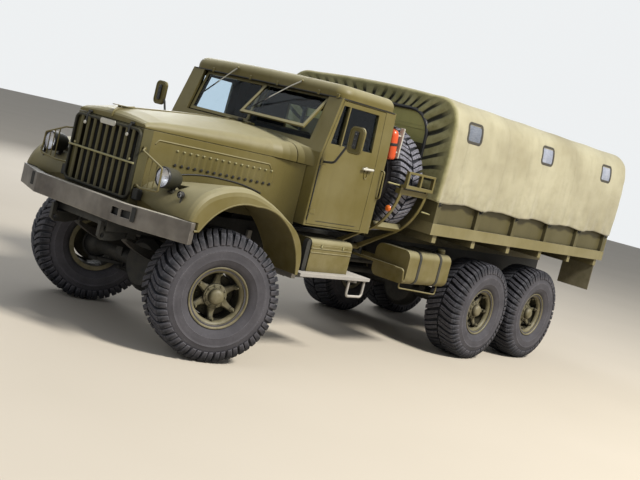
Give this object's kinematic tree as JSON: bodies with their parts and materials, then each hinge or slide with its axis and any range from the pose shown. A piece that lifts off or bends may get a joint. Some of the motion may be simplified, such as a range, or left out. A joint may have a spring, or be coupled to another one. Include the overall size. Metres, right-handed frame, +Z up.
{
  "type": "six-wheel-drive military cargo truck",
  "caption": "Long-bonnet military cargo truck with single wide tyres, steel cab, spare wheel behind it and a canvas-covered bed.",
  "frame": {"origin": "on the ground under the middle of the overall box, as the truck stands on its wheels", "axes": "+X towards the nose, +Y towards the driver's side (left), +Z up"},
  "size_m": [8.645, 3.26, 3.1748],
  "materials": {
    "body_paint": "flat olive paint, sun-bleached on top",
    "chassis_paint": "dark dusty paint",
    "bumper_paint": "dark grey-brown paint",
    "spring_steel": "oiled dusty steel",
    "engine_iron": "grey cast iron",
    "core_metal": "matt black core",
    "worn_steel": "pale worn tread plate",
    "tyre_rubber": "dusty rubber",
    "flap_rubber": "dusty rubber",
    "canvas": "faded cotton canvas",
    "seat_cover": "brown leathercloth",
    "clear_glass": "clear",
    "window_panel": "hazy sheet in a dark frame",
    "lamp_glass": "fluted",
    "black_plastic": "smooth black",
    "red_paint": "glossy orange-red paint"
  },
  "bodies": {
    "chassis": {"frame_rails": "chassis_paint", "front_bumper": "bumper_paint", "towing_gear": "chassis_paint", "front_axle": "chassis_paint", "rear_axles": "chassis_paint", "leaf_springs": "spring_steel", "drive_line": "chassis_paint", "power_unit": "engine_iron", "radiator_shell": "body_paint", "radiator": "core_metal", "grille": "body_paint", "hood_sides": "body_paint", "front_wings": "body_paint", "headlamps": "body_paint", "lamp_lenses": "lamp_glass", "lamp_guards": "body_paint", "cab_shell": "body_paint", "cab_roof": "body_paint", "windscreen_frames": "body_paint", "cab_glass": "clear_glass", "seat_base": "body_paint", "seat_cushions": "seat_cover", "dashboard": "body_paint", "steering_wheel": "black_plastic", "bed_floor": "body_paint", "bed_walls": "body_paint", "canopy": "canvas", "canopy_windows": "window_panel", "canopy_bows": "body_paint", "running_boards": "worn_steel", "side_boxes": "body_paint", "fuel_tanks": "body_paint", "exhaust": "engine_iron", "carrier_bracket": "chassis_paint", "mudguards": "flap_rubber", "extinguisher": "red_paint"},
    "left_knuckle": {"knuckle_left": "chassis_paint"},
    "right_knuckle": {"knuckle_right": "chassis_paint"},
    "track_rod": {"tie_rod": "chassis_paint"},
    "front_left_wheel": {"tyre_front_left": "tyre_rubber", "rim_front_left": "body_paint"},
    "front_right_wheel": {"tyre_front_right": "tyre_rubber", "rim_front_right": "body_paint"},
    "mid_left_wheel": {"tyre_mid_left": "tyre_rubber", "rim_mid_left": "body_paint"},
    "mid_right_wheel": {"tyre_mid_right": "tyre_rubber", "rim_mid_right": "body_paint"},
    "rear_left_wheel": {"tyre_rear_left": "tyre_rubber", "rim_rear_left": "body_paint"},
    "rear_right_wheel": {"tyre_rear_right": "tyre_rubber", "rim_rear_right": "body_paint"},
    "left_door": {"door_left": "body_paint", "door_glass_left": "clear_glass"},
    "right_door": {"door_right": "body_paint", "door_glass_right": "clear_glass"},
    "bonnet_lid": {"hood": "body_paint"},
    "rear_gate": {"tailgate": "body_paint"},
    "spare_cradle": {"spare_carrier": "body_paint", "spare_tyre": "tyre_rubber", "spare_rim": "body_paint"}
  },
  "joints": [
    {"name": "steer_left", "type": "hinge", "parent": "chassis", "child": "left_knuckle", "pos_m": [3.2625, 0.88, 0.64], "axis": [0, 0, 1], "range_deg": [-8, 52]},
    {"name": "steer_right", "type": "hinge", "parent": "chassis", "child": "right_knuckle", "pos_m": [3.2625, -0.88, 0.64], "axis": [0, 0, 1], "range_deg": [-8, 52]},
    {"name": "track_rod_pivot", "type": "hinge", "parent": "left_knuckle", "child": "track_rod", "pos_m": [2.98022, 0.87541, 0.444], "axis": [0, 0, 1], "range_deg": [-61, 10]},
    {"name": "spin_front_left", "type": "hinge", "parent": "left_knuckle", "child": "front_left_wheel", "pos_m": [3.33742, 1.06544, 0.64], "axis": [0.3746, 0.9272, 0], "continuous": true},
    {"name": "spin_front_right", "type": "hinge", "parent": "right_knuckle", "child": "front_right_wheel", "pos_m": [3.18758, -1.06544, 0.64], "axis": [0.3746, 0.9272, 0], "continuous": true},
    {"name": "spin_mid_left", "type": "hinge", "parent": "chassis", "child": "mid_left_wheel", "pos_m": [-1.3375, 1.08, 0.64], "axis": [0, 1, 0], "continuous": true},
    {"name": "spin_mid_right", "type": "hinge", "parent": "chassis", "child": "mid_right_wheel", "pos_m": [-1.3375, -1.08, 0.64], "axis": [0, 1, 0], "continuous": true},
    {"name": "spin_rear_left", "type": "hinge", "parent": "chassis", "child": "rear_left_wheel", "pos_m": [-2.7375, 1.08, 0.64], "axis": [0, 1, 0], "continuous": true},
    {"name": "spin_rear_right", "type": "hinge", "parent": "chassis", "child": "rear_right_wheel", "pos_m": [-2.7375, -1.08, 0.64], "axis": [0, 1, 0], "continuous": true},
    {"name": "door_left_swing", "type": "hinge", "parent": "chassis", "child": "left_door", "pos_m": [2.3605, 1.2, 1.8], "axis": [0, 0, -1], "range_deg": [0, 75]},
    {"name": "door_right_swing", "type": "hinge", "parent": "chassis", "child": "right_door", "pos_m": [2.3605, -1.2, 1.8], "axis": [0, 0, 1], "range_deg": [0, 75]},
    {"name": "bonnet_lift", "type": "hinge", "parent": "chassis", "child": "bonnet_lid", "pos_m": [2.4625, 0, 2.312], "axis": [0, -1, 0], "range_deg": [0, 50]},
    {"name": "gate_drop", "type": "hinge", "parent": "chassis", "child": "rear_gate", "pos_m": [-4.3005, 0, 1.696], "axis": [0, -1, 0], "range_deg": [0, 175]},
    {"name": "cradle_swing", "type": "hinge", "parent": "chassis", "child": "spare_cradle", "pos_m": [0.7925, 0.5, 1.18], "axis": [-1, 0, 0], "range_deg": [0, 85]}
  ],
  "couplings": [
    {"joint": "steer_right", "follows": "steer_left", "ratio": 1},
    {"joint": "track_rod_pivot", "follows": "steer_left", "ratio": -1.137}
  ]
}
